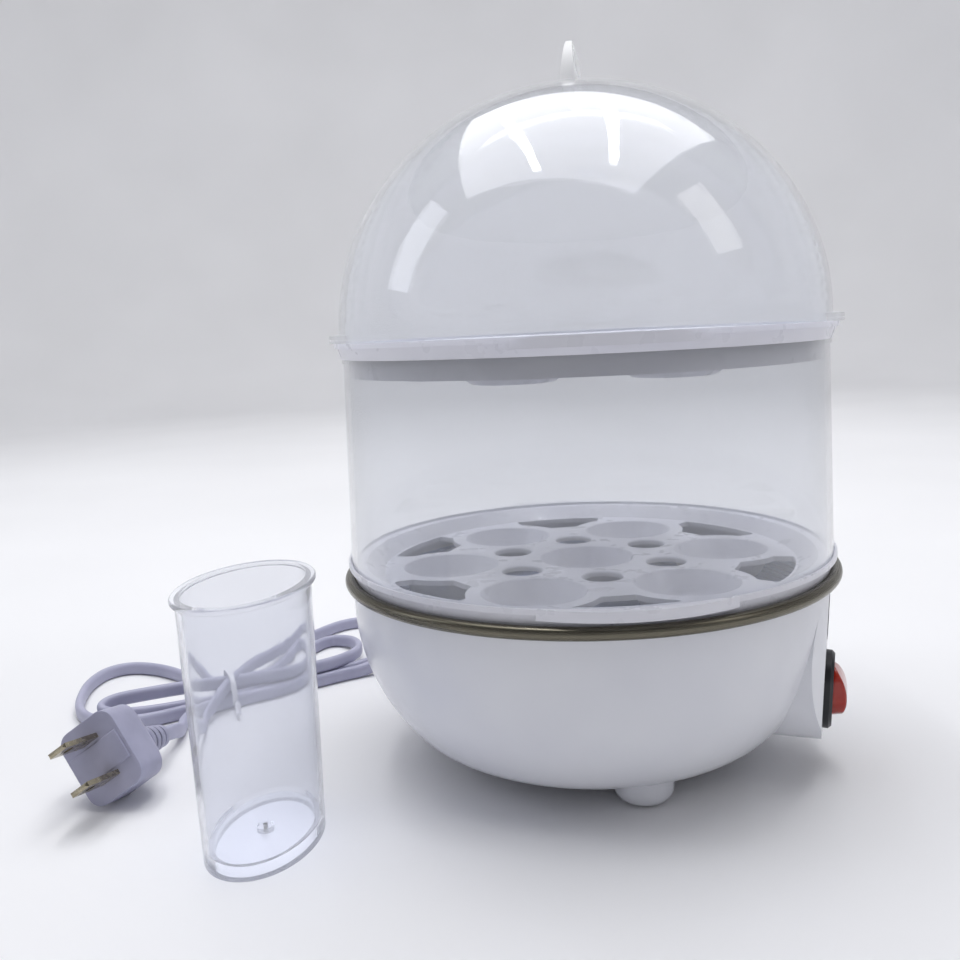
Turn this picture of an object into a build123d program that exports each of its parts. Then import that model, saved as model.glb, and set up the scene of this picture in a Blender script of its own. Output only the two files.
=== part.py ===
from build123d import *
import os
from math import asin, atan2, cos, degrees, pi, radians, sin, sqrt, tan

os.makedirs("parts", exist_ok=True)

# Two-tier electric egg cooker. Millimetres, +Z up. The origin is on the cooker's axis, at table level.
# The rocker switch faces +X.

# ---------------------------------------------------------------- driving dimensions
# base
BASE_RADIUS = 75.0          # outside of the bowl's upright wall
BASE_TOP = 61.0             # top edge of the bowl above the table
BASE_WALL = 2.2
BOWL_DROP = 8.0             # height of the upright part of the wall
BOWL_SIDE_RADIUS = 59.0     # long arc of the side
BOWL_EDGE_RADIUS = 24.4     # tighter arc into the flat underside
FOOT_HEIGHT = 5.3           # underside of the bowl above the table
FOOT_RADIUS = 8.7
FOOT_ROUND = 4.3
FOOT_CIRCLE = 43.7
FOOT_ANGLES = (64.0, 184.0, 304.0)
# switch boss
BOSS_RADIUS = 27.0
BOSS_HEIGHT = 37.0          # axis of the boss above the table
FACET_INSET = 2.4           # how far the flat face stands inside the wall
FACET_TILT = 2.5            # degrees, the top leans outwards
SWITCH_HEIGHT = 24.0
# heating dish
SHEET = 0.6
DISH_FIT = 0.2
DISH_DEPTH = 19.1           # from the rim's top down to the dish's floor
DISH_CORNER = 4.0
DISH_DRAFT = 3.0            # how far the dish's wall leans in below the bowl's upright part
RIM_OVERHANG = 2.5          # rolled rim beyond the bowl's wall
RIM_ROLL = 1.85             # outside radius of the rolled bead
# trays
TRAY_RISE = 4.9             # seat to the top of the lip
TRAY_WALL = 1.6
LEDGE_DEPTH = 0.8
LIP_WIDTH = 0.7
LIP_THICK = 1.5
LIP_OVERHANG = 1.0          # lip beyond the bowl's wall
SKIRT_FIT = 0.5
SKIRT_DROP = 5.5
PLATE_LEVEL = 0.5           # top of the plate above the seat
CUP_COUNT = 6
CUP_RADIUS = 15.0
CUP_DRAFT = 4.0
CUP_DEPTH = 8.5
CUP_WALL = 1.4
CUP_CIRCLE = 43.9
STEAM_HOLE_RADIUS = 6.0
STEAM_HOLE_CIRCLE = 26.0
WINDOW_INNER = 48.0
WINDOW_OUTER = 64.2
WINDOW_HALF_ANGLE = 14.5
WINDOW_GAP = 4.6            # web between a window and the cups beside it
TAB_HALF_ANGLE = 20.0
TAB_REACH = 2.5             # how far a finger tab stands out of the lip
TAB_UNDER = 2.0             # underside of the tab above the seat
LOWER_TRAY_TURN = -65.0     # direction of the finger tab
UPPER_TRAY_TURN = -70.0
# clear parts
CLEAR_FIT = 0.3
RING_HEIGHT = 63.2
RING_WALL = 1.5
RING_DRAFT = 1.4
RING_BEAD = 0.4
RING_BEAD_HEIGHT = 1.2
LID_FLANGE = 2.2
LID_OVERHANG = 2.4          # lid flange beyond the bowl's wall
LID_GROOVE = 0.5
LID_WALL = 1.6
LID_RISE = 70.8             # flange to the top of the dome
DOME_INSET = 0.7
HANDLE_HEIGHT = 11.3
HANDLE_LENGTH = 30.0
HANDLE_ROOT = 4.2
HANDLE_TIP = 1.8
HANDLE_TURN = 100.0
HANDLE_PAD = 0.4
HANDLE_TAB = 5.8
HANDLE_TAB_THICK = 2.0
HANDLE_TAB_PLACE = 8.0
HANDLE_TAB_FIT = 0.1
# bottom cover
COVER_RADIUS = 34.5
COVER_THICK = 1.7
COVER_FIT = 0.2
COVER_SCREW_CIRCLE = 29.0
COVER_FLANGE = 10.0
VENT_COUNT = 8
VENT_WIDTH = 2.4
VENT_LENGTH = 9.0
VENT_CIRCLE = 17.0
SCREW_RADIUS = 1.4
SCREW_HEAD = 2.8
SCREW_LENGTH = 9.0
SCREW_POST = 3.6
# heater
SPREADER_RADIUS = 46.0
SPREADER_THICK = 2.5
ELEMENT_CIRCLE = 33.0
ELEMENT_RADIUS = 3.3
ELEMENT_BITE = 0.5          # how deep the flattened top of the tube sits
ELEMENT_GAP = 56.0          # degrees left open between the two ends
ELEMENT_GAP_TURN = 0.0
PIN_RADIUS = 1.9
PIN_LENGTH = 9.0
BRACKET_WIDTH = 12.0
BRACKET_THICK = 1.5
STUD_RADIUS = 2.4
STUD_LENGTH = 14.0
NUT_FLATS = 8.0
NUT_HEIGHT = 3.8
THERMOSTAT_RADIUS = 8.2
THERMOSTAT_HEIGHT = 9.5
THERMOSTAT_PLACE = 16.5
FUSE_RADIUS = 2.0
FUSE_LENGTH = 11.0
FUSE_PLACE = 17.0
# switch
BEZEL_LENGTH = 23.8
BEZEL_WIDTH = 17.4
BEZEL_THICK = 2.5
BEZEL_CHAMFER = 0.9
HOUSING_LENGTH = 20.4
HOUSING_WIDTH = 13.4
HOUSING_DEPTH = 13.5
HOUSING_FIT = 0.15
CAVITY_LENGTH = 18.0
CAVITY_WIDTH = 11.4
CAVITY_FLOOR = 1.6
ROCKER_LENGTH = 15.8
ROCKER_WIDTH = 10.6
ROCKER_EDGE = 3.2           # rocker's end above its pivot
ROCKER_CREST = 5.8          # rocker's middle above its pivot
ROCKER_UNDER = 2.5
ROCKER_TILT = 12.0          # degrees to each side
PIVOT_SINK = 2.0            # pivot behind the bezel's front
PIVOT_RADIUS = 1.1
PIVOT_FIT = 0.1
STEM_LENGTH = 5.6
STEM_WIDTH = 3.6
PLUNGER_RADIUS = 0.9
LEVER_LENGTH = 12.4
LEVER_WIDTH = 4.0
LEVER_THICK = 0.6
LEVER_SINK = 9.6            # lever's pivot behind the rocker's pivot
LEVER_TILT = 7.0
LAMP_RADIUS = 1.5
LAMP_LENGTH = 7.0
LAMP_PLACE = 5.2
LAMP_SINK = 6.2
BLADE_PITCH = 6.6
TAB_BLADE_WIDTH = 4.8
TAB_BLADE_THICK = 0.8
TAB_BLADE_LENGTH = 9.0
# cord
CORD_DIAMETER = 5.1
GLAND_ANGLE = 150.0
GLAND_HEIGHT = 20.0
GLAND_REACH = 65.5          # pad's face from the cooker's axis
GLAND_PAD = 9.0
GLAND_PAD_DEPTH = 9.5
GLAND_BORE = 5.2
GLAND_FLANGE = 7.4
GLAND_FLANGE_THICK = 2.0
GLAND_SLEEVE = 12.0
GLAND_FIT = 0.1
LEAD_RADIUS = 1.3
# measuring cup
CUP_LONG = 25.4
CUP_SHORT = 16.5
CUP_FOOT_LONG = 22.9
CUP_FOOT_SHORT = 15.6
CUP_HEIGHT = 72.4
CUP_SKIN = 1.4
CUP_RIM = 1.3
CUP_RIM_HEIGHT = 1.5
CUP_FLOOR = 3.0             # recess under the floor
PIN_WIDTH = 1.2
PIN_BOSS = 2.4
CUP_PLACE = (-70.8, -86.2)
CUP_TURN = 103.6

# ---------------------------------------------------------------- heights and radii that follow
SEAT = BASE_TOP + SHEET
RIM_RADIUS = BASE_RADIUS + RIM_OVERHANG
DISH_INSIDE = BASE_RADIUS - BASE_WALL - DISH_FIT - SHEET
DISH_FLOOR = SEAT - DISH_DEPTH
LIP_RADIUS = BASE_RADIUS + LIP_OVERHANG
LEDGE_RADIUS = LIP_RADIUS - LIP_WIDTH
SKIRT_RADIUS = DISH_INSIDE - SKIRT_FIT
RING_FOOT = LEDGE_RADIUS - CLEAR_FIT
RING_HEAD = RING_FOOT - RING_DRAFT
RING_BOTTOM = SEAT + TRAY_RISE - LEDGE_DEPTH
UPPER_SEAT = RING_BOTTOM + RING_HEIGHT
LID_BOTTOM = UPPER_SEAT + TRAY_RISE
SPRING = LID_BOTTOM + LID_FLANGE
APEX = SPRING + LID_RISE
DOME_RADIUS = RING_FOOT - DOME_INSET
SPREADER_BOTTOM = DISH_FLOOR - SHEET - SPREADER_THICK
FACET_REACH = BASE_RADIUS - FACET_INSET

pieces = {}


def turned(outline):
    """A solid of revolution about the cooker's axis from an outline in radius and height."""
    return revolve(Plane.XZ * outline, Axis.Z)


def block(points):
    """A flat face with straight sides through the given points."""
    return make_face(Polyline(*points, close=True))


def disc(radius, low, high):
    return Pos(0, 0, low) * Cylinder(radius, high - low, align=(Align.CENTER, Align.CENTER, Align.MIN))


# ---------------------------------------------------------------- base shell
def bowl(inset):
    """The bowl's body, solid, with its whole surface drawn in by inset."""
    side = BOWL_SIDE_RADIUS - inset
    edge = BOWL_EDGE_RADIUS - inset
    side_x = BASE_RADIUS - BOWL_SIDE_RADIUS
    side_z = BASE_TOP - BOWL_DROP
    swing = asin((side_z - BOWL_EDGE_RADIUS - FOOT_HEIGHT) / (BOWL_SIDE_RADIUS - BOWL_EDGE_RADIUS))
    edge_x = side_x + (BOWL_SIDE_RADIUS - BOWL_EDGE_RADIUS) * cos(swing)
    edge_z = FOOT_HEIGHT + BOWL_EDGE_RADIUS
    low = (edge_x, edge_z - edge)
    meet = (edge_x + edge * cos(swing), edge_z - edge * sin(swing))
    middle = (edge_x + edge * cos((swing + pi / 2) / 2), edge_z - edge * sin((swing + pi / 2) / 2))
    halfway = (side_x + side * cos(swing / 2), side_z - side * sin(swing / 2))
    start = (side_x + side, side_z)
    floor = Line((0, low[1]), low)
    lower = ThreePointArc(low, middle, meet)
    upper = ThreePointArc(meet, halfway, start)
    wall = Polyline(start, (start[0], BASE_TOP), (0, BASE_TOP), (0, low[1]))
    return turned(make_face(floor + lower + upper + wall))


def facet_plane():
    """The flat face that carries the switch: local x across, y up, z outwards."""
    lean = radians(FACET_TILT)
    outwards = (cos(lean), 0, -sin(lean))
    return Plane(origin=(FACET_REACH, 0, SWITCH_HEIGHT), x_dir=(0, 1, 0), z_dir=outwards)


FACET = facet_plane()


def beyond_facet(inset):
    """Everything outside the switch's flat face, drawn in by inset."""
    room = 3 * BASE_RADIUS
    return FACET * Pos(0, 0, -inset) * Box(room, room, room, align=(Align.CENTER, Align.CENTER, Align.MIN))


def boss(inset):
    """The drum that carries the switch, cut to the bowl's upright wall."""
    drum = Pos(0, 0, BOSS_HEIGHT) * Rot(0, 90, 0) * Cylinder(BOSS_RADIUS - inset, BASE_RADIUS, align=(
        Align.CENTER, Align.CENTER, Align.MIN))
    drum = drum & disc(BASE_RADIUS - inset, 0, BASE_TOP)
    inside = disc(BASE_RADIUS / 2, 0, BASE_TOP)
    return drum - inside


def gland_place(reach):
    """A frame on the cord gland's axis, local z pointing out of the bowl."""
    a = radians(GLAND_ANGLE)
    origin = (reach * cos(a), reach * sin(a), GLAND_HEIGHT)
    return Plane(origin=origin, x_dir=(-sin(a), cos(a), 0), z_dir=(cos(a), sin(a), 0))


def up(radius, length):
    return Cylinder(radius, length, align=(Align.CENTER, Align.CENTER, Align.MIN))


def slot_bar(length, width, low, high):
    """A bar with round ends, its length along local y, between two depths along local z."""
    outline = Rot(0, 0, 90) * SlotOverall(length, width)
    return Pos(0, 0, low) * extrude(outline, high - low)


def cover_flange_top():
    return FOOT_HEIGHT + COVER_THICK + BASE_WALL


def base_shell():
    outer = (bowl(0) + boss(0)) - beyond_facet(0)
    inner = (bowl(BASE_WALL) + boss(BASE_WALL)) - beyond_facet(BASE_WALL)
    # room for the dish's round wall, which the flat face would otherwise cut into
    inner = inner + disc(BASE_RADIUS - BASE_WALL, BASE_TOP - 1.6 * BOWL_DROP, BASE_TOP + 1)
    shell = outer - inner
    # feet, moulded in one with the bowl
    for angle in FOOT_ANGLES:
        foot = up(FOOT_RADIUS, FOOT_HEIGHT + BOWL_EDGE_RADIUS / 2)
        foot = fillet(foot.edges().group_by(Axis.Z)[0], FOOT_ROUND)
        foot = Rot(0, 0, angle) * Pos(FOOT_CIRCLE, 0, 0) * foot
        shell = shell + (foot - inner)
    # stepped rebate and flange for the bottom cover, with its screw posts
    flange_low = FOOT_HEIGHT + COVER_THICK
    rebate = COVER_RADIUS + COVER_FIT
    shell = shell + disc(rebate + BASE_WALL, FOOT_HEIGHT, cover_flange_top())
    shell = shell - disc(rebate, FOOT_HEIGHT - 1, flange_low)
    shell = shell - disc(COVER_RADIUS - COVER_FLANGE, flange_low - 1, cover_flange_top() + 1)
    for k in range(3):
        place = Rot(0, 0, 120 * k) * Pos(COVER_SCREW_CIRCLE, 0, flange_low)
        shell = shell + place * up(SCREW_POST, SCREW_LENGTH)
        shell = shell - place * Pos(0, 0, -1) * up(SCREW_RADIUS, SCREW_LENGTH)
    # switch opening
    opening = slot_bar(HOUSING_LENGTH + 2 * HOUSING_FIT, HOUSING_WIDTH + 2 * HOUSING_FIT, -2 * BASE_WALL, 1)
    shell = shell - FACET * opening
    # pad and bore for the cord gland
    pad = gland_place(GLAND_REACH) * Pos(0, 0, -GLAND_PAD_DEPTH) * up(GLAND_PAD, GLAND_PAD_DEPTH)
    shell = shell - gland_place(GLAND_REACH) * up(GLAND_PAD, GLAND_PAD_DEPTH)
    bore = gland_place(GLAND_REACH) * Pos(0, 0, -2 * GLAND_PAD_DEPTH) * up(GLAND_BORE, 3 * GLAND_PAD_DEPTH)
    return shell + pad - bore


pieces["base_shell"] = base_shell()


# ---------------------------------------------------------------- bottom cover and its screws
def cover_screw():
    """A countersunk screw with its head's face on local z = 0 and its tip upwards."""
    head = Cone(SCREW_HEAD, SCREW_RADIUS, COVER_THICK, align=(Align.CENTER, Align.CENTER, Align.MIN))
    cross = Box(SCREW_HEAD, 0.7, 1.4) + Box(0.7, SCREW_HEAD, 1.4)
    return head + up(SCREW_RADIUS, SCREW_LENGTH) - cross


def screw_places():
    return [Rot(0, 0, 120 * k) * Pos(COVER_SCREW_CIRCLE, 0, FOOT_HEIGHT) for k in range(3)]


def bottom_cover():
    plate = disc(COVER_RADIUS, FOOT_HEIGHT, FOOT_HEIGHT + COVER_THICK)
    plate = chamfer(plate.edges().group_by(Axis.Z)[0], 0.4)
    sink = Cone(SCREW_HEAD, SCREW_RADIUS, COVER_THICK, align=(Align.CENTER, Align.CENTER, Align.MIN))
    for place in screw_places():
        plate = plate - place * sink
    for k in range(VENT_COUNT):
        vent = Pos(VENT_CIRCLE, 0, FOOT_HEIGHT - 1) * extrude(SlotOverall(VENT_LENGTH, VENT_WIDTH), COVER_THICK + 2)
        plate = plate - Rot(0, 0, 360 / VENT_COUNT * (k + 0.5)) * vent
    return plate


pieces["bottom_cover"] = bottom_cover()
pieces["cover_screws"] = Compound(children=[place * cover_screw() for place in screw_places()])


# ---------------------------------------------------------------- heating dish
def heating_dish():
    wall_out = DISH_INSIDE + SHEET
    centre_x = RIM_RADIUS - RIM_ROLL
    centre_z = SEAT - RIM_ROLL + 0.5
    step = BASE_TOP - BOWL_DROP
    low_out = (wall_out - DISH_DRAFT, DISH_FLOOR - SHEET)
    low_in = (DISH_INSIDE - DISH_DRAFT, DISH_FLOOR)
    pan = block([
        (0, DISH_FLOOR - SHEET),
        low_out,
        (wall_out, step),
        (wall_out, BASE_TOP),
        (centre_x - RIM_ROLL / 2, BASE_TOP),
        (centre_x - RIM_ROLL / 2, SEAT),
        (DISH_INSIDE, SEAT),
        (DISH_INSIDE, step),
        low_in,
        (0, DISH_FLOOR),
    ])
    outer_corner = pan.vertices().sort_by_distance(Vector(*low_out, 0))[0]
    pan = fillet(outer_corner, DISH_CORNER + SHEET)
    inner_corner = pan.vertices().sort_by_distance(Vector(*low_in, 0))[0]
    pan = fillet(inner_corner, DISH_CORNER)
    # the rolled bead, open on its inner side where it hangs over the bowl's edge
    roll = Pos(centre_x, centre_z) * (Circle(RIM_ROLL) - Circle(RIM_ROLL - SHEET))
    wall_zone = Pos(BASE_RADIUS + DISH_FIT, BASE_TOP) * Rectangle(2 * RIM_ROLL, 3 * RIM_ROLL, align=(
        Align.MAX, Align.MAX))
    roll = roll - wall_zone
    return turned(pan) + turned(roll)


pieces["heating_dish"] = heating_dish()


# ---------------------------------------------------------------- heater
def element_ends():
    half = ELEMENT_GAP / 2
    return (ELEMENT_GAP_TURN + half, ELEMENT_GAP_TURN - half + 360)


def element_level():
    return SPREADER_BOTTOM - ELEMENT_RADIUS + ELEMENT_BITE


def heating_element():
    start, stop = element_ends()
    section = Plane.XZ * Pos(ELEMENT_CIRCLE, element_level()) * Circle(ELEMENT_RADIUS)
    tube = Rot(0, 0, start) * revolve(section, Axis.Z, revolution_arc=stop - start)
    for angle in (start, stop):
        inwards = 1 if angle == start else -1
        along = degrees(2 * PIN_RADIUS / ELEMENT_CIRCLE) * inwards
        pin = Rot(0, 0, angle + along) * Pos(ELEMENT_CIRCLE, 0, element_level() - ELEMENT_RADIUS - PIN_LENGTH)
        tube = tube + pin * up(PIN_RADIUS, PIN_LENGTH + ELEMENT_RADIUS)
    above = disc(SPREADER_RADIUS, SPREADER_BOTTOM, SPREADER_BOTTOM + 2 * ELEMENT_RADIUS)
    return tube - above


def bracket_top():
    return element_level() - ELEMENT_RADIUS


def heat_spreader():
    plate = disc(SPREADER_RADIUS, SPREADER_BOTTOM, SPREADER_BOTTOM + SPREADER_THICK)
    return plate + disc(STUD_RADIUS, SPREADER_BOTTOM - STUD_LENGTH, SPREADER_BOTTOM)


def heater_bracket():
    length = 2 * (ELEMENT_CIRCLE + 2 * ELEMENT_RADIUS)
    bar = Pos(0, 0, bracket_top() - BRACKET_THICK) * Box(BRACKET_WIDTH, length, BRACKET_THICK, align=(
        Align.CENTER, Align.CENTER, Align.MIN))
    bar = fillet(bar.edges().filter_by(Axis.Z), BRACKET_WIDTH / 3)
    return bar - disc(STUD_RADIUS + 0.3, 0, BASE_TOP)


def stud_nut():
    top = bracket_top() - BRACKET_THICK
    nut = Pos(0, 0, top - NUT_HEIGHT) * extrude(RegularPolygon(NUT_FLATS / 2, 6, major_radius=False), NUT_HEIGHT)
    return nut - disc(STUD_RADIUS, 0, BASE_TOP)


def thermostat():
    body = up(THERMOSTAT_RADIUS, THERMOSTAT_HEIGHT)
    body = chamfer(body.edges().group_by(Axis.Z)[0], 0.8)
    body = body + Pos(0, 0, THERMOSTAT_HEIGHT - 4.2) * extrude(
        Rot(0, 0, 90) * SlotOverall(4 * THERMOSTAT_RADIUS - 3, 7), 1.2)
    for side in (-1, 1):
        body = body + Pos(side * 4.5, 0, -4.5) * Box(0.8, 4.8, 9)
        body = body - Pos(0, side * (2 * THERMOSTAT_RADIUS - 5), 0) * up(1.55, THERMOSTAT_HEIGHT)
    return Pos(-THERMOSTAT_PLACE, 0, SPREADER_BOTTOM - THERMOSTAT_HEIGHT) * body


def thermal_fuse():
    can = Rot(90, 0, 0) * Cylinder(FUSE_RADIUS, FUSE_LENGTH)
    wire = Rot(90, 0, 0) * Cylinder(0.5, FUSE_LENGTH + 12)
    return Pos(FUSE_PLACE, 0, SPREADER_BOTTOM - FUSE_RADIUS) * (can + wire)


def fuse_clip():
    """A saddle strip over the fuse, with a foot that the screw holds."""
    thick = 0.8
    width = 6.0
    reach = FUSE_RADIUS + thick
    arch = Box(2 * reach, width, FUSE_RADIUS + reach, align=(Align.CENTER, Align.CENTER, Align.MAX))
    arch = arch - Box(2 * FUSE_RADIUS, width + 1, FUSE_RADIUS, align=(Align.CENTER, Align.CENTER, Align.MAX))
    arch = arch - Pos(0, 0, -FUSE_RADIUS) * Rot(90, 0, 0) * Cylinder(FUSE_RADIUS, width + 1)
    foot = Pos(reach, 0, 0) * Box(6, width, thick, align=(Align.MIN, Align.CENTER, Align.MAX))
    clip = arch + foot - Pos(reach + 3, 0, -thick) * up(1.5, thick)
    return Pos(FUSE_PLACE, 0, SPREADER_BOTTOM) * clip


pieces["heating_element"] = heating_element()
pieces["heat_spreader"] = heat_spreader()
pieces["heater_bracket"] = heater_bracket()
pieces["stud_nut"] = stud_nut()
pieces["thermostat"] = thermostat()
pieces["thermal_fuse"] = thermal_fuse()
pieces["fuse_clip"] = fuse_clip()


# ---------------------------------------------------------------- rocker switch
PIVOT_DEPTH = BEZEL_THICK - PIVOT_SINK
CAVITY_BACK = PIVOT_DEPTH - HOUSING_DEPTH + CAVITY_FLOOR


def at_pivot():
    return FACET * Pos(0, 0, PIVOT_DEPTH)


def across(radius, length):
    """A round bar along local x."""
    return Rot(0, 90, 0) * Cylinder(radius, length)


def switch_housing():
    back = PIVOT_DEPTH - HOUSING_DEPTH
    flange = slot_bar(BEZEL_LENGTH, BEZEL_WIDTH, 0, BEZEL_THICK)
    flange = chamfer(flange.edges().group_by(Axis.Z)[-1], BEZEL_CHAMFER)
    body = flange + slot_bar(HOUSING_LENGTH, HOUSING_WIDTH, back, 0)
    body = body - slot_bar(CAVITY_LENGTH, CAVITY_WIDTH, CAVITY_BACK, BEZEL_THICK + 1)
    body = body - Pos(0, 0, PIVOT_DEPTH) * across(PIVOT_RADIUS + PIVOT_FIT, HOUSING_WIDTH + 1)
    for k in (-1, 0, 1):
        body = body - Pos(0, k * BLADE_PITCH, back) * Box(TAB_BLADE_WIDTH, TAB_BLADE_THICK, 4 * CAVITY_FLOOR)
    return FACET * body


def rocker_in_place(piece):
    return at_pivot() * Rot(-ROCKER_TILT, 0, 0) * piece


def switch_rocker():
    half = ROCKER_LENGTH / 2
    top = ThreePointArc((-half, ROCKER_EDGE), (0, ROCKER_CREST), (half, ROCKER_EDGE))
    sides = Polyline((half, ROCKER_EDGE), (half, -ROCKER_UNDER), (-half, -ROCKER_UNDER), (-half, ROCKER_EDGE))
    bar = extrude(Plane.YZ * make_face(top + sides), ROCKER_WIDTH, both=True)
    bar = bar & slot_bar(ROCKER_LENGTH, ROCKER_WIDTH, -2 * ROCKER_CREST, 2 * ROCKER_CREST)
    rim = bar.edges().filter_by(lambda e: e.center().Z > ROCKER_EDGE - 0.2)
    bar = fillet(rim, 0.7)
    stem = Pos(0, 0, -STEM_LENGTH) * Box(STEM_WIDTH, STEM_WIDTH, STEM_LENGTH, align=(
        Align.CENTER, Align.CENTER, Align.MIN))
    bar = bar + stem + across(PIVOT_RADIUS, HOUSING_WIDTH)
    bore = Pos(0, 0, -STEM_LENGTH - 1) * up(PLUNGER_RADIUS + PIVOT_FIT, STEM_LENGTH - 1)
    return rocker_in_place(bar - bore)


def lever_top():
    return -LEVER_SINK + LEVER_THICK / 2


def rocker_plunger():
    """The sprung pin in the rocker's stem, its round nose on the lever."""
    nose = Pos(0, 0, lever_top() + PLUNGER_RADIUS + 0.35) * Sphere(PLUNGER_RADIUS)
    shaft = Pos(0, 0, lever_top() + PLUNGER_RADIUS + 0.35) * up(PLUNGER_RADIUS, 2.6)
    return rocker_in_place(nose + shaft)


def plunger_spring():
    """The small coil spring above the plunger, as a closed sleeve of its outer shape."""
    low = lever_top() + PLUNGER_RADIUS + 0.35 + 2.6
    high = -2.0 - PIVOT_FIT
    sleeve = Pos(0, 0, low) * (up(PLUNGER_RADIUS, high - low) - up(PLUNGER_RADIUS / 2, high - low))
    return rocker_in_place(sleeve)


def contact_lever():
    strip = Box(LEVER_WIDTH, LEVER_LENGTH, LEVER_THICK)
    strip = fillet(strip.edges().filter_by(Axis.Z), 1.2)
    for side in (-1, 1):
        strip = strip + Pos(0, side * (LEVER_LENGTH / 2 - 1.6), -LEVER_THICK / 2 - 0.5) * up(1.1, 0.6)
    return at_pivot() * Pos(0, 0, -LEVER_SINK) * Rot(LEVER_TILT, 0, 0) * strip


def switch_terminals():
    """Three brass tabs through the housing's back. The middle one is the lever's fulcrum."""
    back = -HOUSING_DEPTH
    tabs = []
    for k in (-1, 0, 1):
        inside = 0.5 if k else HOUSING_DEPTH - LEVER_SINK - LEVER_THICK / 2 - CAVITY_FLOOR - 0.25
        tall = TAB_BLADE_LENGTH + CAVITY_FLOOR + inside
        blade = Pos(0, k * BLADE_PITCH, back - TAB_BLADE_LENGTH) * Box(
            TAB_BLADE_WIDTH, TAB_BLADE_THICK, tall, align=(Align.CENTER, Align.CENTER, Align.MIN))
        hole = Pos(0, k * BLADE_PITCH, back - 0.6 * TAB_BLADE_LENGTH) * Rot(90, 0, 0) * Cylinder(0.8, 2)
        tabs.append(at_pivot() * (blade - hole))
    return Compound(children=tabs)


def neon_lamp():
    glass = across(LAMP_RADIUS, LAMP_LENGTH)
    glass = fillet(glass.edges(), LAMP_RADIUS * 0.6)
    return at_pivot() * Pos(0, -LAMP_PLACE, -LAMP_SINK) * glass


pieces["switch_housing"] = switch_housing()
pieces["switch_rocker"] = switch_rocker()
pieces["rocker_plunger"] = rocker_plunger()
pieces["plunger_spring"] = plunger_spring()
pieces["contact_lever"] = contact_lever()
pieces["switch_terminals"] = switch_terminals()
pieces["neon_lamp"] = neon_lamp()


# ---------------------------------------------------------------- cord gland
def cord_gland():
    barrel_low = -GLAND_PAD_DEPTH
    body = Pos(0, 0, barrel_low) * up(GLAND_BORE - GLAND_FIT, -barrel_low)
    body = body + up(GLAND_FLANGE, GLAND_FLANGE_THICK)
    sleeve = Cone(CORD_DIAMETER / 2 + 2.2, CORD_DIAMETER / 2 + 0.9, GLAND_SLEEVE, align=(
        Align.CENTER, Align.CENTER, Align.MIN))
    body = body + Pos(0, 0, GLAND_FLANGE_THICK) * sleeve
    # a locking collar inside the bowl
    body = body + Pos(0, 0, barrel_low - 1.6) * up(GLAND_BORE + 1.0, 1.6)
    # relief grooves round the sleeve
    pitch = GLAND_SLEEVE / 4.5
    for k in range(4):
        level = GLAND_FLANGE_THICK + pitch * (k + 0.4)
        groove = Pos(0, 0, level) * (up(GLAND_BORE + 3, pitch * 0.4) - up(CORD_DIAMETER / 2 + 0.7, pitch * 0.4))
        body = body - groove
    return gland_place(GLAND_REACH) * body


pieces["cord_gland"] = cord_gland()


# ---------------------------------------------------------------- trays
def window():
    """One steam window: outer arc, inner tip, and sides that keep clear of the two cups beside it."""
    ring = Circle(WINDOW_OUTER) - Circle(WINDOW_INNER)
    far = 2 * WINDOW_OUTER
    a = radians(WINDOW_HALF_ANGLE)
    wedge = Polygon((0, 0), (far * cos(a), -far * sin(a)), (far * cos(a), far * sin(a)), align=None)
    shape = ring & wedge
    for side in (-1, 1):
        b = radians(side * 180 / CUP_COUNT)
        shape = shape - Pos(CUP_CIRCLE * cos(b), CUP_CIRCLE * sin(b)) * Circle(CUP_RADIUS + WINDOW_GAP)
    return fillet(shape.vertices(), 1.4)


def cup_places():
    step = 360 / CUP_COUNT
    ring = [Rot(0, 0, step * (k + 0.5)) * Pos(CUP_CIRCLE, 0, 0) for k in range(CUP_COUNT)]
    return [Pos(0, 0, 0)] + ring


def dished(radius, depth):
    """A round-cornered, tapering bowl shape hanging from the plate's top."""
    outline = block([
        (0, PLATE_LEVEL - depth),
        (radius - CUP_DRAFT, PLATE_LEVEL - depth),
        (radius, PLATE_LEVEL),
        (0, PLATE_LEVEL),
    ])
    corner = outline.vertices().sort_by_distance(Vector(radius - CUP_DRAFT, PLATE_LEVEL - depth, 0))[0]
    return turned(fillet(corner, 3.5))


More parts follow.
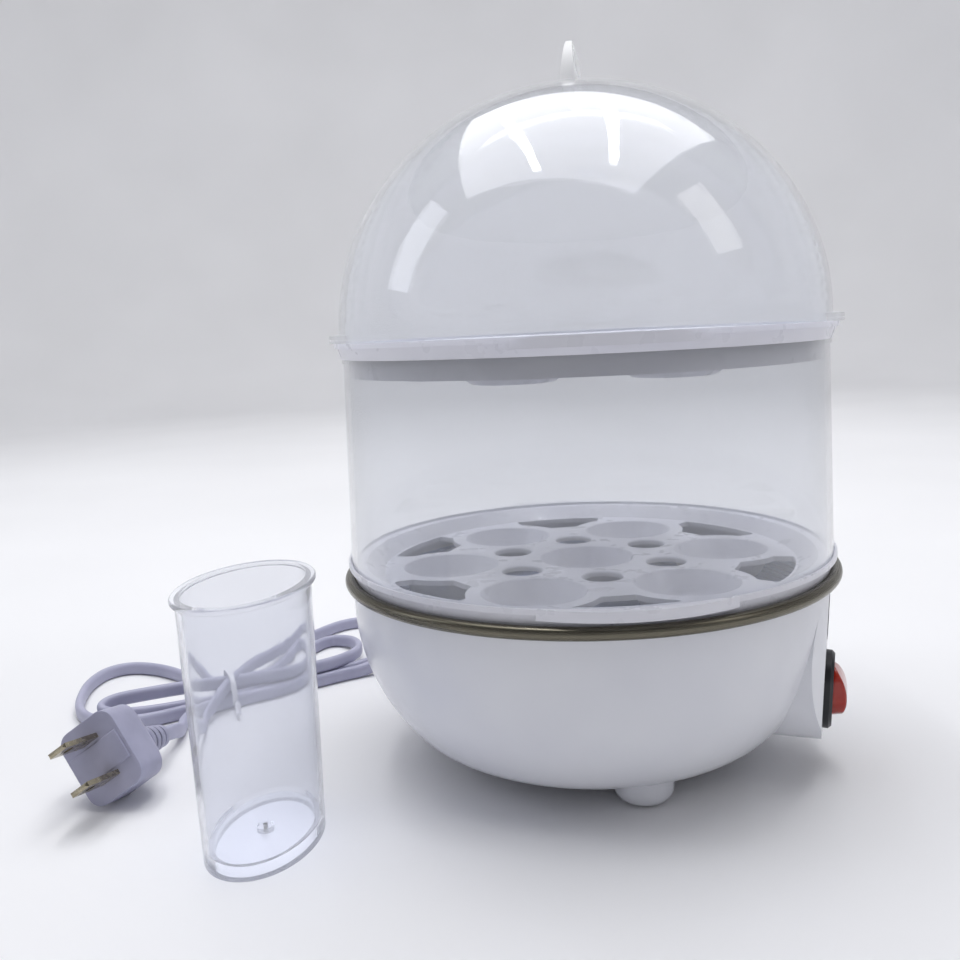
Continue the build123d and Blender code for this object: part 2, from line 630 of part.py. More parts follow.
def tray():
    """An egg tray with its seat on z = 0 and one finger tab towards +X."""
    ledge = TRAY_RISE - LEDGE_DEPTH
    lip_low = TRAY_RISE - LIP_THICK
    band_foot = BASE_RADIUS - LEDGE_DEPTH
    plate_low = PLATE_LEVEL - TRAY_WALL
    bend = SKIRT_RADIUS - 6.5
    rim = block([
        (0, PLATE_LEVEL),
        (bend, PLATE_LEVEL),
        (SKIRT_RADIUS - 1.0, ledge),
        (LEDGE_RADIUS, ledge),
        (LEDGE_RADIUS, TRAY_RISE),
        (LIP_RADIUS, TRAY_RISE),
        (LIP_RADIUS, lip_low),
        (LEDGE_RADIUS - 0.1, lip_low),
        (band_foot, 0),
        (band_foot - TRAY_WALL, 0),
        (band_foot - TRAY_WALL, ledge - TRAY_WALL),
        (SKIRT_RADIUS, ledge - TRAY_WALL),
        (SKIRT_RADIUS, -SKIRT_DROP),
        (SKIRT_RADIUS - TRAY_WALL, -SKIRT_DROP),
        (SKIRT_RADIUS - TRAY_WALL, ledge - 2 * TRAY_WALL),
        (bend, plate_low),
        (0, plate_low),
    ])
    body = turned(rim)
    holes = [Rot(0, 0, 360 / CUP_COUNT * k) for k in range(CUP_COUNT)]
    for place in cup_places():
        body = body + place * dished(CUP_RADIUS + CUP_WALL, CUP_DEPTH)
    for place in cup_places():
        body = body - place * dished(CUP_RADIUS, CUP_DEPTH - CUP_WALL)
    through = 4 * TRAY_WALL
    for place in holes:
        body = body - place * Pos(STEAM_HOLE_CIRCLE, 0, PLATE_LEVEL - through / 2) * up(STEAM_HOLE_RADIUS, through)
        body = body - place * Pos(0, 0, PLATE_LEVEL - through / 2) * extrude(window(), through)
    rounded = [e for e in body.edges().filter_by(GeomType.CIRCLE)
               if abs(e.center().Z - PLATE_LEVEL) < 0.01
               and (abs(e.radius - CUP_RADIUS) < 0.01 or abs(e.radius - STEAM_HOLE_RADIUS) < 0.01)]
    body = fillet(rounded, 0.7)
    # finger tabs at two opposite sides of the lip
    a = radians(TAB_HALF_ANGLE)
    chord = LIP_RADIUS * sin(a)
    sagitta = LIP_RADIUS * (1 - cos(a)) + TAB_REACH
    bulge = (chord ** 2 + sagitta ** 2) / (2 * sagitta)
    tab = Pos(LIP_RADIUS + TAB_REACH - bulge, 0, TAB_UNDER) * up(bulge, TRAY_RISE - TAB_UNDER)
    near = Pos(LIP_RADIUS, 0, TAB_UNDER) * Box(2 * sagitta, 2 * chord, TRAY_RISE, align=(
        Align.CENTER, Align.CENTER, Align.MIN))
    tab = (tab & near) - disc(LEDGE_RADIUS - 0.2, 0, TRAY_RISE)
    for turn in (0, 180):
        body = body + Rot(0, 0, turn) * tab
    return body


def placed_tray(seat, turn):
    return Pos(0, 0, seat) * Rot(0, 0, turn) * tray()


pieces["lower_tray"] = placed_tray(SEAT, LOWER_TRAY_TURN)
pieces["upper_tray"] = placed_tray(UPPER_SEAT, UPPER_TRAY_TURN)


# ---------------------------------------------------------------- clear ring and lid
def steam_ring():
    low = RING_BOTTOM
    high = UPPER_SEAT
    bead_low = high - RING_BEAD_HEIGHT
    wall = block([
        (RING_FOOT, low),
        (RING_HEAD, bead_low),
        (RING_HEAD + RING_BEAD, bead_low),
        (RING_HEAD + RING_BEAD, high),
        (RING_HEAD - RING_WALL, high),
        (RING_FOOT - RING_WALL, low),
    ])
    return turned(wall)


pieces["steam_ring"] = steam_ring()


def dome(radius, rise):
    """A solid half-ellipsoid standing on the lid's flange."""
    steps = 16
    swings = [pi / 2 * k / steps for k in range(steps + 1)]
    arc = Spline(*[(radius * cos(a), SPRING + rise * sin(a)) for a in swings], tangents=((0, 1), (-1, 0)))
    return turned(make_face(arc + Polyline((0, SPRING + rise), (0, SPRING), (radius, SPRING))))


def handle_frame():
    return Pos(0, 0, APEX) * Rot(0, 0, HANDLE_TURN)


def tab_slots(extra):
    """The two tabs that pass through the dome, widened by extra on each side."""
    length = HANDLE_TAB + 2 * extra
    thick = HANDLE_TAB_THICK + 2 * extra
    deep = LID_WALL + 3.0
    bars = [Pos(side * HANDLE_TAB_PLACE, 0, -deep) * Box(length, thick, deep, align=(
        Align.CENTER, Align.CENTER, Align.MIN)) for side in (-1, 1)]
    return bars[0] + bars[1]


def lid_dome():
    shell = dome(DOME_RADIUS, LID_RISE) - dome(DOME_RADIUS - LID_WALL, LID_RISE - LID_WALL)
    flange_out = BASE_RADIUS + LID_OVERHANG
    inside = DOME_RADIUS - LID_WALL
    third = LID_FLANGE / 3
    flange = block([
        (inside, LID_BOTTOM - LEDGE_DEPTH),
        (RING_FOOT, LID_BOTTOM - LEDGE_DEPTH),
        (RING_FOOT, LID_BOTTOM),
        (flange_out, LID_BOTTOM),
        (flange_out, LID_BOTTOM + third),
        (flange_out - LID_GROOVE, LID_BOTTOM + third),
        (flange_out - LID_GROOVE, LID_BOTTOM + 1.5 * third),
        (flange_out, LID_BOTTOM + 1.5 * third),
        (flange_out, SPRING),
        (inside, SPRING),
    ])
    return shell + turned(flange) - handle_frame() * tab_slots(HANDLE_TAB_FIT)


def lid_handle():
    """A thin upright fin, tapering to its top, with a raised grip pad on each face and two snap tabs."""
    root_level = -6.0
    half = HANDLE_LENGTH / 2
    side = ThreePointArc((-half, root_level), (-half * 0.8, HANDLE_HEIGHT * 0.62), (-half * 0.42, HANDLE_HEIGHT))
    top = Line((-half * 0.42, HANDLE_HEIGHT), (half * 0.42, HANDLE_HEIGHT))
    other = ThreePointArc((half * 0.42, HANDLE_HEIGHT), (half * 0.8, HANDLE_HEIGHT * 0.62), (half, root_level))
    face = make_face(side + top + other + Line((half, root_level), (-half, root_level)))
    slab = extrude(Plane.XZ * face, HANDLE_ROOT, both=True)
    taper = block([
        (-HANDLE_ROOT / 2, root_level),
        (HANDLE_ROOT / 2, root_level),
        (HANDLE_ROOT / 2, 0),
        (HANDLE_TIP / 2, HANDLE_HEIGHT),
        (-HANDLE_TIP / 2, HANDLE_HEIGHT),
        (-HANDLE_ROOT / 2, 0),
    ])
    fin = slab & extrude(Plane.YZ * taper, HANDLE_LENGTH, both=True)
    pad_low = HANDLE_HEIGHT * 0.25
    pad_high = HANDLE_HEIGHT - 2.0
    pad_face = Pos(0, (pad_low + pad_high) / 2) * RectangleRounded(HANDLE_LENGTH * 0.5, pad_high - pad_low, 1.5)
    thicker = extrude(Plane.XZ * pad_face, HANDLE_ROOT / 2, both=True)
    slope = (HANDLE_ROOT - HANDLE_TIP) / 2 / HANDLE_HEIGHT
    pad_shape = block([
        (-(HANDLE_ROOT / 2 - slope * pad_low + HANDLE_PAD), pad_low),
        (HANDLE_ROOT / 2 - slope * pad_low + HANDLE_PAD, pad_low),
        (HANDLE_ROOT / 2 - slope * pad_high + HANDLE_PAD, pad_high),
        (-(HANDLE_ROOT / 2 - slope * pad_high + HANDLE_PAD), pad_high),
    ])
    fin = fin + (thicker & extrude(Plane.YZ * pad_shape, HANDLE_LENGTH, both=True))
    fin = handle_frame() * fin - dome(DOME_RADIUS, LID_RISE)
    shell = dome(DOME_RADIUS, LID_RISE) - dome(DOME_RADIUS - LID_WALL, LID_RISE - LID_WALL)
    tabs = (handle_frame() * tab_slots(0)) & dome(DOME_RADIUS, LID_RISE)
    barbs = []
    for way in (-1, 1):
        barb = Box(HANDLE_TAB, HANDLE_TAB_THICK + 1.2, 1.0, align=(Align.CENTER, Align.CENTER, Align.MAX))
        barbs.append(handle_frame() * Pos(way * HANDLE_TAB_PLACE, 0, -LID_WALL - 1.0) * barb)
    barbs = [barb - shell for barb in barbs]
    return fin + tabs + barbs[0] + barbs[1]


pieces["lid_dome"] = lid_dome()
pieces["lid_handle"] = lid_handle()


# ---------------------------------------------------------------- measuring cup with piercing pin
def oval_cone(long_low, short_low, long_high, short_high, low, high):
    sections = [Pos(0, 0, low) * Ellipse(long_low, short_low), Pos(0, 0, high) * Ellipse(long_high, short_high)]
    return loft(sections, ruled=True)


def cup_frame():
    return Pos(CUP_PLACE[0], CUP_PLACE[1], 0) * Rot(0, 0, CUP_TURN)


def measuring_cup():
    floor_top = CUP_FLOOR + CUP_SKIN
    body = oval_cone(CUP_FOOT_LONG, CUP_FOOT_SHORT, CUP_LONG, CUP_SHORT, 0, CUP_HEIGHT)
    rim = Pos(0, 0, CUP_HEIGHT - CUP_RIM_HEIGHT) * extrude(Ellipse(CUP_LONG + CUP_RIM, CUP_SHORT + CUP_RIM),
                                                           CUP_RIM_HEIGHT)
    rim = fillet(rim.edges(), CUP_RIM_HEIGHT * 0.4)
    body = body + rim
    share = floor_top / CUP_HEIGHT
    inner_long = CUP_FOOT_LONG + (CUP_LONG - CUP_FOOT_LONG) * share - CUP_SKIN
    inner_short = CUP_FOOT_SHORT + (CUP_SHORT - CUP_FOOT_SHORT) * share - CUP_SKIN
    body = body - oval_cone(inner_long, inner_short, CUP_LONG - CUP_SKIN, CUP_SHORT - CUP_SKIN,
                            floor_top, CUP_HEIGHT)
    under = extrude(Ellipse(CUP_FOOT_LONG - 2 * CUP_SKIN, CUP_FOOT_SHORT - 2 * CUP_SKIN), CUP_FLOOR)
    body = body - under
    body = body + Pos(0, 0, CUP_FLOOR / 2) * up(PIN_BOSS, CUP_FLOOR / 2)
    return cup_frame() * (body - up(PIN_WIDTH / 2, CUP_FLOOR + CUP_SKIN / 2))


def piercing_pin():
    tip = Cone(0.1, PIN_WIDTH / 2, 1.2, align=(Align.CENTER, Align.CENTER, Align.MIN))
    shank = Pos(0, 0, 1.2) * up(PIN_WIDTH / 2, CUP_FLOOR + CUP_SKIN / 2 - 1.6)
    return cup_frame() * Pos(0, 0, 0.4) * (tip + shank)


pieces["measuring_cup"] = measuring_cup()
pieces["piercing_pin"] = piercing_pin()


# ---------------------------------------------------------------- plug
PLUG_FACE_LONG = 24.5
PLUG_FACE_SHORT = 20.0
PLUG_DEPTH = 19.0
PLUG_ROUND = 5.0
PLUG_SLEEVE = 15.0
PLUG_BLADE_PITCH = 12.7
PLUG_BLADE_LENGTH = 15.9
PLUG_BLADE_WIDTH = 6.3
PLUG_BLADE_THICK = 1.5
PLUG_FACE_CENTRE = (-127.6, -84.9, 16.7)
PLUG_POINTS = (0.15, -0.962, 0.21)       # the way the blades point
PLUG_ROW = (0.576, 0.051, -0.82)        # the line from one blade to the other


def plug_frame():
    """Local z towards the blades' tips, local x along the row of blades."""
    return Plane(origin=PLUG_FACE_CENTRE, x_dir=PLUG_ROW, z_dir=PLUG_POINTS)


def plug_shape():
    sections = []
    for depth, shrink in ((0, 0), (-0.62 * PLUG_DEPTH, 0.3), (-PLUG_DEPTH, 5.2)):
        sections.append(Pos(0, 0, depth) * RectangleRounded(
            PLUG_FACE_LONG - 2 * shrink, PLUG_FACE_SHORT - 2 * shrink, PLUG_ROUND - shrink * 0.5))
    body = loft(sections[:2], ruled=True) + loft(sections[1:], ruled=True)
    band = Pos(0, 0, 0) * Box(9.0, PLUG_FACE_SHORT - 4.0, 1.2)
    body = body + band
    sleeve = Cone(CORD_DIAMETER / 2 + 1.1, CORD_DIAMETER / 2 + 3.0, PLUG_SLEEVE, align=(
        Align.CENTER, Align.CENTER, Align.MIN))
    body = body + Pos(0, 0, -PLUG_DEPTH - PLUG_SLEEVE) * sleeve
    for k in range(3):
        level = -PLUG_DEPTH - PLUG_SLEEVE + 3 + 3.4 * k
        groove = Pos(0, 0, level) * (up(PLUG_FACE_SHORT, 1.2) - up(CORD_DIAMETER / 2 + 0.9, 1.2))
        body = body - groove
    for side in (-1, 1):
        body = body - Pos(side * PLUG_BLADE_PITCH / 2, 0, 0) * Box(PLUG_BLADE_THICK, PLUG_BLADE_WIDTH, 12)
    return body


def plug_drop():
    """How far the plug comes down until its lowest corner lies on the table."""
    return (plug_frame() * plug_shape()).bounding_box().min.Z


DROP = plug_drop()


def on_table(piece):
    return Pos(0, 0, -DROP) * (plug_frame() * piece)


def plug_blades():
    blades = []
    for side in (-1, 1):
        blade = Box(PLUG_BLADE_THICK, PLUG_BLADE_WIDTH, PLUG_BLADE_LENGTH + 6, align=(
            Align.CENTER, Align.CENTER, Align.MIN))
        blade = chamfer(blade.edges().group_by(Axis.Z)[-1], 0.6)
        blade = Pos(side * PLUG_BLADE_PITCH / 2, 0, -6) * blade
        hole = Pos(side * PLUG_BLADE_PITCH / 2, 0, PLUG_BLADE_LENGTH - 5) * Rot(0, 90, 0) * Cylinder(1.5, 4)
        blades.append(on_table(blade - hole))
    return Compound(children=blades)


pieces["plug_body"] = on_table(plug_shape())
pieces["plug_blades"] = plug_blades()


# ---------------------------------------------------------------- cord
def arc_radii(points):
    """The largest tangent arc that fits each corner of a route."""
    radii = []
    for before, here, after in zip(points, points[1:], points[2:]):
        run_in = Vector(*here) - Vector(*before)
        run_out = Vector(*after) - Vector(*here)
        turn = radians(run_in.get_angle(run_out))
        radii.append(0.45 * min(run_in.length, run_out.length) / tan(turn / 2))
    return radii


def cord_tube(name, points):
    radii = arc_radii(points)
    path = FilletPolyline(*points, radius=radii)
    print(name, "arc radii", [round(r, 1) for r in radii], "length", round(path.length, 1))
    section = Plane(origin=path @ 0, z_dir=path % 0) * Circle(CORD_DIAMETER / 2)
    tube = sweep(section, path=path)
    print(name, "volume over section times length", round(tube.volume / (section.area * path.length), 4))
    return tube


LAY = 2.6                                # a cord's middle above the table


def gland_point(reach):
    origin = gland_place(GLAND_REACH + GLAND_FLANGE_THICK + GLAND_SLEEVE + reach).origin
    return (origin.X, origin.Y, origin.Z)


# hank: folded strands tied in the middle. Its own axes start at the tie, u along the strands, v across.
TIE_AT = (-145.5, 2.2)
HANK_TURN = 48.0
LAYER = 5.2
LEAD_ENTRY = (43.4, -8.75)
LEAD_ANGLE = 0.0                         # direction the lead leaves the hank in, in the hank's own axes
TAIL_ENTRY = (-20.5, -22.5)
TAIL_ANGLE = -106.0


def mouth(entry, angle):
    """The two ends of the hank's short straight side that a cord leaves at right angles."""
    a = radians(angle)
    half = 0.75 * CORD_DIAMETER
    return [(entry[0] + half * sin(a), entry[1] - half * cos(a)), (entry[0] - half * sin(a), entry[1] + half * cos(a))]


HANK_OUTLINE = mouth(LEAD_ENTRY, LEAD_ANGLE) + [
    (58, -5.4), (70, -1.5), (82, 11), (90, 27), (91.5, 42), (84, 56), (70, 61), (58, 57), (46, 49), (30, 36),
    (14, 20), (4, 1.5), (-4, 1.5), (-6, 14), (-8, 27), (-14, 41), (-25, 55), (-38, 55), (-48, 42), (-53, 27),
    (-55.5, 11), (-53.5, -4), (-45, -14), (-33, -17.5),
] + mouth(TAIL_ENTRY, TAIL_ANGLE) + [
    (-10, -15), (4, -14.6), (20, -14), (36, -13.5),
]
HANK_TOP_OUTLINE = [
    (-14, -19), (-4, -14.6), (14, -14), (32, -13), (46, -10), (58, 0), (64, 14), (63, 30), (52, 40), (40, 42),
    (26, 34), (12, 14), (4, 1.5), (-4, 1.5), (-16, 4.5), (-30, 7.5), (-42, 9.5), (-50, 5), (-50, -1), (-42, -2),
    (-26, -8),
]


def hank_frame():
    return Pos(TIE_AT[0], TIE_AT[1], 0) * Rot(0, 0, HANK_TURN)


def tie_groove(extra):
    """The strip round the hank that the twist tie fills."""
    return Pos(TIE_U, 0, LAYER) * Box(TIE_WIDTH + 2 * extra, 60, 4 * LAYER)


TIE_U = -1.5
TIE_WIDTH = 3.0
TIE_THICK = 0.8
TIE_SIDES = (-14.6, 1.5)


def cord_hank():
    lower = extrude(block(HANK_OUTLINE), LAYER)
    upper = Pos(0, 0, LAYER) * extrude(block(HANK_TOP_OUTLINE), LAYER)
    hank = lower + upper
    core_low, core_high = TIE_SIDES
    core = Pos(TIE_U, (core_low + core_high) / 2, TIE_THICK) * Box(
        3 * TIE_WIDTH, core_high - core_low - 2 * TIE_THICK, 2 * LAYER - 2 * TIE_THICK,
        align=(Align.CENTER, Align.CENTER, Align.MIN))
    return hank_frame() * (hank - (tie_groove(0) - core))


def twist_tie():
    core_low, core_high = TIE_SIDES
    middle = (core_low + core_high) / 2
    width = core_high - core_low
    band = Pos(TIE_U, middle, 0) * Box(TIE_WIDTH, width, 2 * LAYER, align=(Align.CENTER, Align.CENTER, Align.MIN))
    hole = Pos(TIE_U, middle, TIE_THICK) * Box(
        2 * TIE_WIDTH, width - 2 * TIE_THICK, 2 * LAYER - 2 * TIE_THICK,
        align=(Align.CENTER, Align.CENTER, Align.MIN))
    twisted = Pos(TIE_U, core_low - 5.0, 1.2) * Rot(90, 0, 0) * Cylinder(1.2, 10.0)
    return hank_frame() * (band - hole + twisted)


def hank_point(u, v, z):
    a = radians(HANK_TURN)
    return (TIE_AT[0] + u * cos(a) - v * sin(a), TIE_AT[1] + u * sin(a) + v * cos(a), z)


def plug_point(behind):
    """A point on the plug's axis, at a distance behind the end of its sleeve."""
    end = on_table(Pos(0, 0, -PLUG_DEPTH - PLUG_SLEEVE - behind) * Vertex(0, 0, 0)).center()
    return (end.X, end.Y, end.Z)


def leaving(entry, angle, run, level):
    a = radians(angle)
    return hank_point(entry[0] + run * cos(a), entry[1] + run * sin(a), level)


LEAD_ROUTE = [
    gland_point(0),
    gland_point(9.0),
    (-84.7, 46.9, 15.2),
    (-91.9, 45.6, 9.4),
    (-98.2, 41.5, 4.6),
    leaving(LEAD_ENTRY, LEAD_ANGLE, 9.0, LAY),
    leaving(LEAD_ENTRY, LEAD_ANGLE, 0, LAY),
]
TAIL_ROUTE = [
    leaving(TAIL_ENTRY, TAIL_ANGLE, 0, LAY),
    leaving(TAIL_ENTRY, TAIL_ANGLE, 8.0, LAY),
    plug_point(9.0),
    plug_point(0),
]
print("plug set down by", round(DROP, 4))
for place in (*LEAD_ROUTE, *TAIL_ROUTE):
    print([round(c, 2) for c in place])

pieces["cord_lead"] = cord_tube("cord_lead", LEAD_ROUTE)
pieces["cord_hank"] = cord_hank()
pieces["twist_tie"] = twist_tie()
pieces["cord_tail"] = cord_tube("cord_tail", TAIL_ROUTE)

# ---------------------------------------------------------------- write one file per piece
for name, piece in pieces.items():
    export_step(piece, f"parts/{name}.step")
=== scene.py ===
# %% [markdown]
# # A two-tier egg cooker
# This lesson gives every part its real finish, and models the pieces whose look needs more than a plain
# solid: the flat cord with its folds, the plug, the twist tie and a small printed mark.

# %% Load the frame
import math

import bmesh
import bpy
from mathutils import Matrix, Vector


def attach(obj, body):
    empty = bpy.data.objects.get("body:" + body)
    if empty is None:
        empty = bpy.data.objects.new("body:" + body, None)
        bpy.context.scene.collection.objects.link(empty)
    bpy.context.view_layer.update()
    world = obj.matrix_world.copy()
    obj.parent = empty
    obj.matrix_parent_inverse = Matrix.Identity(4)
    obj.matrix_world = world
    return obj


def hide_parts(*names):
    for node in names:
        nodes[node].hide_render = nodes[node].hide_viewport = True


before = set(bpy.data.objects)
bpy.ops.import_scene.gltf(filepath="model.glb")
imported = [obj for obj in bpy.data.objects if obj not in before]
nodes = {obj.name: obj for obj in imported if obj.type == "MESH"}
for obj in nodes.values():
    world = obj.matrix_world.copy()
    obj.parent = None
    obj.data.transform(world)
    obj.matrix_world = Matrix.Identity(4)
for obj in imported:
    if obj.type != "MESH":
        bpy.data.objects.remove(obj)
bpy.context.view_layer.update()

MM = 0.001

# %% [markdown]
# ## Camera
# A table-top product picture is taken from a little above the object with a slightly wide lens. The
# camera is placed by its position and by three directions: right, up and backwards. Together they are the
# columns of its matrix, so no rotation angles are needed.

# %% Place the camera
CAMERA_AT = Vector((0.08084, -0.30168, 0.13605))
CAMERA_RIGHT = Vector((0.93436, 0.35322, -0.04703))
CAMERA_UP = Vector((-0.01001, 0.15796, 0.98739))
CAMERA_BACK = Vector((0.35620, -0.92211, 0.15113))
LENS_MM = 36.98

camera_data = bpy.data.cameras.new("table_camera")
camera_data.lens = LENS_MM
camera_data.sensor_width = 36.0
camera_data.clip_start = 0.01
camera = bpy.data.objects.new("table_camera", camera_data)
bpy.context.scene.collection.objects.link(camera)
turn = Matrix((CAMERA_RIGHT, CAMERA_UP, CAMERA_BACK)).transposed()
camera.matrix_world = Matrix.Translation(CAMERA_AT) @ turn.to_4x4()
bpy.context.scene.camera = camera

# %% [markdown]
# ## The cord's route
# The lead is a flat twin flex, wider than it is thick, that was folded into a hank and tied in the middle.
# A flexible thing is best drawn as one smooth line first. Here that line is a NURBS spline: its control
# points pull the line towards them without forcing it through them, which gives the easy bends of a real
# cord. The hank's points are given in its own axes, u along the strands and v across them, and turned
# into place.

# %% Control points from the gland, through the hank, to the plug
HANK_AT = (-145.5, 2.2)
HANK_TURN = math.radians(48.0)


def in_hank(u, v, z):
    c, s = math.cos(HANK_TURN), math.sin(HANK_TURN)
    return (HANK_AT[0] + u * c - v * s, HANK_AT[1] + u * s + v * c, z)


LEAVING_COOKER = [(-68.85, 39.75, 20.0), (-76.64, 44.25, 20.0), (-84.7, 46.9, 15.2), (-91.9, 45.6, 9.4),
                  (-98.2, 41.5, 4.6), (-103.94, 35.29, 2.6), (-109.96, 28.6, 2.6)]
BIG_LOOP = [(28, -10.5, 2.6), (13, -11.3, 2.6), (-2, -11.2, 2.6), (-16, -12.5, 2.6), (-30, -14, 2.6),
            (-42, -11, 2.6), (-50, -2, 2.6), (-52.5, 11, 2.6), (-50, 26, 2.6), (-45.5, 40, 2.6),
            (-37.5, 51, 2.6), (-27, 51.5, 2.6), (-17.5, 41, 2.6), (-11, 27, 2.6), (-7, 12, 2.6),
            (-1, 0, 2.6), (9, 0, 2.6)]
SMALL_LOOP = [(22, 10, 2.6), (36, 23, 2.6), (47, 33.5, 2.6), (55, 37, 2.6), (61.5, 30, 3.0), (61, 17, 4.5),
              (55, 3, 6.2), (44, -6, 7.4), (30, -9, 7.8), (14, -7, 7.8), (-2, -4.5, 7.8)]
TIGHT_FOLD = [(-16, 0, 7.4), (-30, 3, 6.8), (-41, 5.5, 6.0), (-46.5, 2, 4.6), (-42, -3, 3.2), (-30, -6, 2.6),
              (-16, -7.5, 2.6), (-2, -7.4, 2.6)]
FAR_LOOP = [(13, -7.4, 2.6), (28, -6.5, 2.6), (43, -4.4, 2.6), (56, -3, 2.6), (68, 2.5, 2.6), (79, 14, 2.6),
            (86.5, 28, 2.6), (88, 42, 2.6), (80.5, 54, 2.6), (68, 57, 2.6), (54, 50, 2.6), (41, 40, 3.2),
            (27, 26, 5.0), (13, 9, 8.5), (3, -4, 9.4), (-6, -12, 8.0), (-14, -18.5, 4.5)]
TO_PLUG = [(-142.5, -28.09, 2.6), (-138.26, -34.87, 2.6), (-134.08, -43.37, 6.56), (-132.72, -52.06, 8.46)]

route = LEAVING_COOKER + [in_hank(*p) for p in BIG_LOOP + SMALL_LOOP + TIGHT_FOLD + FAR_LOOP] + TO_PLUG
route = [Vector(p) * MM for p in route]
print(len(route), "control points")

# %% Turn the control points into one smooth line
line_data = bpy.data.curves.new("cord_line", "CURVE")
line_data.dimensions = "3D"
line_data.resolution_u = 10
spline = line_data.splines.new("NURBS")
spline.points.add(len(route) - 1)
for point, place in zip(spline.points, route):
    point.co = (*place, 1.0)
spline.order_u = 3
spline.use_endpoint_u = True
line = bpy.data.objects.new("cord_line", line_data)
bpy.context.scene.collection.objects.link(line)
bpy.context.view_layer.update()
line_mesh = bpy.data.meshes.new_from_object(line)
cord_path = [v.co.copy() for v in line_mesh.vertices]
bpy.data.objects.remove(line)

# %% [markdown]
# ## The flat cord
# Twin flex is two insulated wires side by side with a shallow groove between them. It lies on its edge in
# the hank, because it folds easily across its thin way only. The outline below is that two-lobed section.
# It is copied along the line with its long way upright, and neighbouring copies are joined by faces.

# %% Section of the twin flex
CORD_WIDE = 5.1 * MM
CORD_THICK = 3.4 * MM
SECTION_STEPS = 20


def flex_section():
    outline = []
    for k in range(SECTION_STEPS):
        a = 2 * math.pi * k / SECTION_STEPS
        groove = 1.0 - 0.13 * math.exp(-(math.sin(a) / 0.32) ** 2)
        across = math.copysign(abs(math.cos(a)) ** 0.75, math.cos(a)) * CORD_THICK / 2 * groove
        outline.append((across, math.sin(a) * CORD_WIDE / 2))
    return outline


# %% Sweep the section along the line
def swept_cord(name, path, section):
    form = bmesh.new()
    length_layer = form.loops.layers.uv.new("cord")
    rings = []
    run = 0.0
    runs = []
    for k, here in enumerate(path):
        before = path[max(k - 1, 0)]
        after = path[min(k + 1, len(path) - 1)]
        forward = (after - before).normalized()
        sideways = forward.cross(Vector((0, 0, 1))).normalized()
        upright = sideways.cross(forward)
        rings.append([form.verts.new(here + sideways * x + upright * y) for x, y in section])
        runs.append(run)
        if k + 1 < len(path):
            run += (path[k + 1] - here).length
    count = len(section)
    for k in range(len(rings) - 1):
        for j in range(count):
            i = (j + 1) % count
            face = form.faces.new((rings[k][j], rings[k][i], rings[k + 1][i], rings[k + 1][j]))
            face.smooth = True
            corners = ((runs[k], j), (runs[k], j + 1), (runs[k + 1], j + 1), (runs[k + 1], j))
            for loop, (s, t) in zip(face.loops, corners):
                loop[length_layer].uv = (s, t / count)
    form.faces.new(list(reversed(rings[0])))
    form.faces.new(rings[-1])
    bmesh.ops.recalc_face_normals(form, faces=form.faces)
    data = bpy.data.meshes.new(name)
    form.to_mesh(data)
    form.free()
    piece = bpy.data.objects.new(name, data)
    bpy.context.scene.collection.objects.link(piece)
    return piece


flat_cord = swept_cord("flat_cord", cord_path, flex_section())
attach(flat_cord, "base")
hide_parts("cord_lead", "cord_hank", "cord_tail")

# %% [markdown]
# ## Helpers for modelling by operator
# The operators of edit mode act on whatever is selected, so each piece starts with nothing selected.
# Faces and edges are then chosen by where they are or which way they face.

# %% Selecting, choosing and finishing
def start_clean():
    if bpy.context.mode != "OBJECT":
        bpy.ops.object.mode_set(mode="OBJECT")
    bpy.ops.object.select_all(action="DESELECT")


def choose_faces(piece, wanted):
    """Selects the faces for which wanted(centre, normal) is true. Leaves the piece in edit mode."""
    bpy.ops.object.mode_set(mode="EDIT")
    bpy.ops.mesh.select_mode(type="FACE")
    form = bmesh.from_edit_mesh(piece.data)
    for face in form.faces:
        face.select = bool(wanted(face.calc_center_median(), face.normal))
    form.select_flush(True)
    bmesh.update_edit_mesh(piece.data)


def all_chosen(piece):
    bpy.ops.object.mode_set(mode="EDIT")
    bpy.ops.mesh.select_all(action="SELECT")


def done_editing():
    bpy.ops.object.mode_set(mode="OBJECT")


def bevelled(piece, width, segments, angle=30):
    modifier = piece.modifiers.new("rounding", "BEVEL")
    modifier.width = width
    modifier.segments = segments
    modifier.limit_method = "ANGLE"
    modifier.angle_limit = math.radians(angle)
    bpy.ops.object.modifier_apply(modifier=modifier.name)


def put_in_place(piece, matrix):
    """Moves the mesh itself, so that the object stays at the origin."""
    piece.data.transform(matrix)
    piece.matrix_world = Matrix.Identity(4)
    piece.data.update()


def joined(name, pieces):
    start_clean()
    for piece in pieces:
        piece.select_set(True)
    bpy.context.view_layer.objects.active = pieces[0]
    bpy.ops.object.join()
    pieces[0].name = name
    pieces[0].data.name = name
    return pieces[0]


def smooth(piece, angle=35):
    start_clean()
    piece.select_set(True)
    bpy.context.view_layer.objects.active = piece
    bpy.ops.object.shade_smooth_by_angle(angle=math.radians(angle))


# %% [markdown]
# ## Plug
# The plug is one soft vinyl moulding: a rounded block whose back tapers into a ribbed sleeve that keeps
# the cord from kinking. A cube gives the block. Its back face is pulled out and shrunk in steps, and a
# raised band is pushed out of its front between the blades. The sleeve starts as a cylinder whose back
# is extruded ring by ring, every other ring smaller, to make the ribs.

# %% The plug's own axes
PLUG_FACE_AT = Vector((-127.6, -84.9, 16.7 - 1.0719)) * MM
plug_z = Vector((0.15, -0.962, 0.21)).normalized()
plug_row = Vector((0.576, 0.051, -0.82))
plug_x = (plug_row - plug_row.dot(plug_z) * plug_z).normalized()
plug_y = plug_z.cross(plug_x)
plug_matrix = Matrix.Translation(PLUG_FACE_AT) @ Matrix((plug_x, plug_y, plug_z)).transposed().to_4x4()

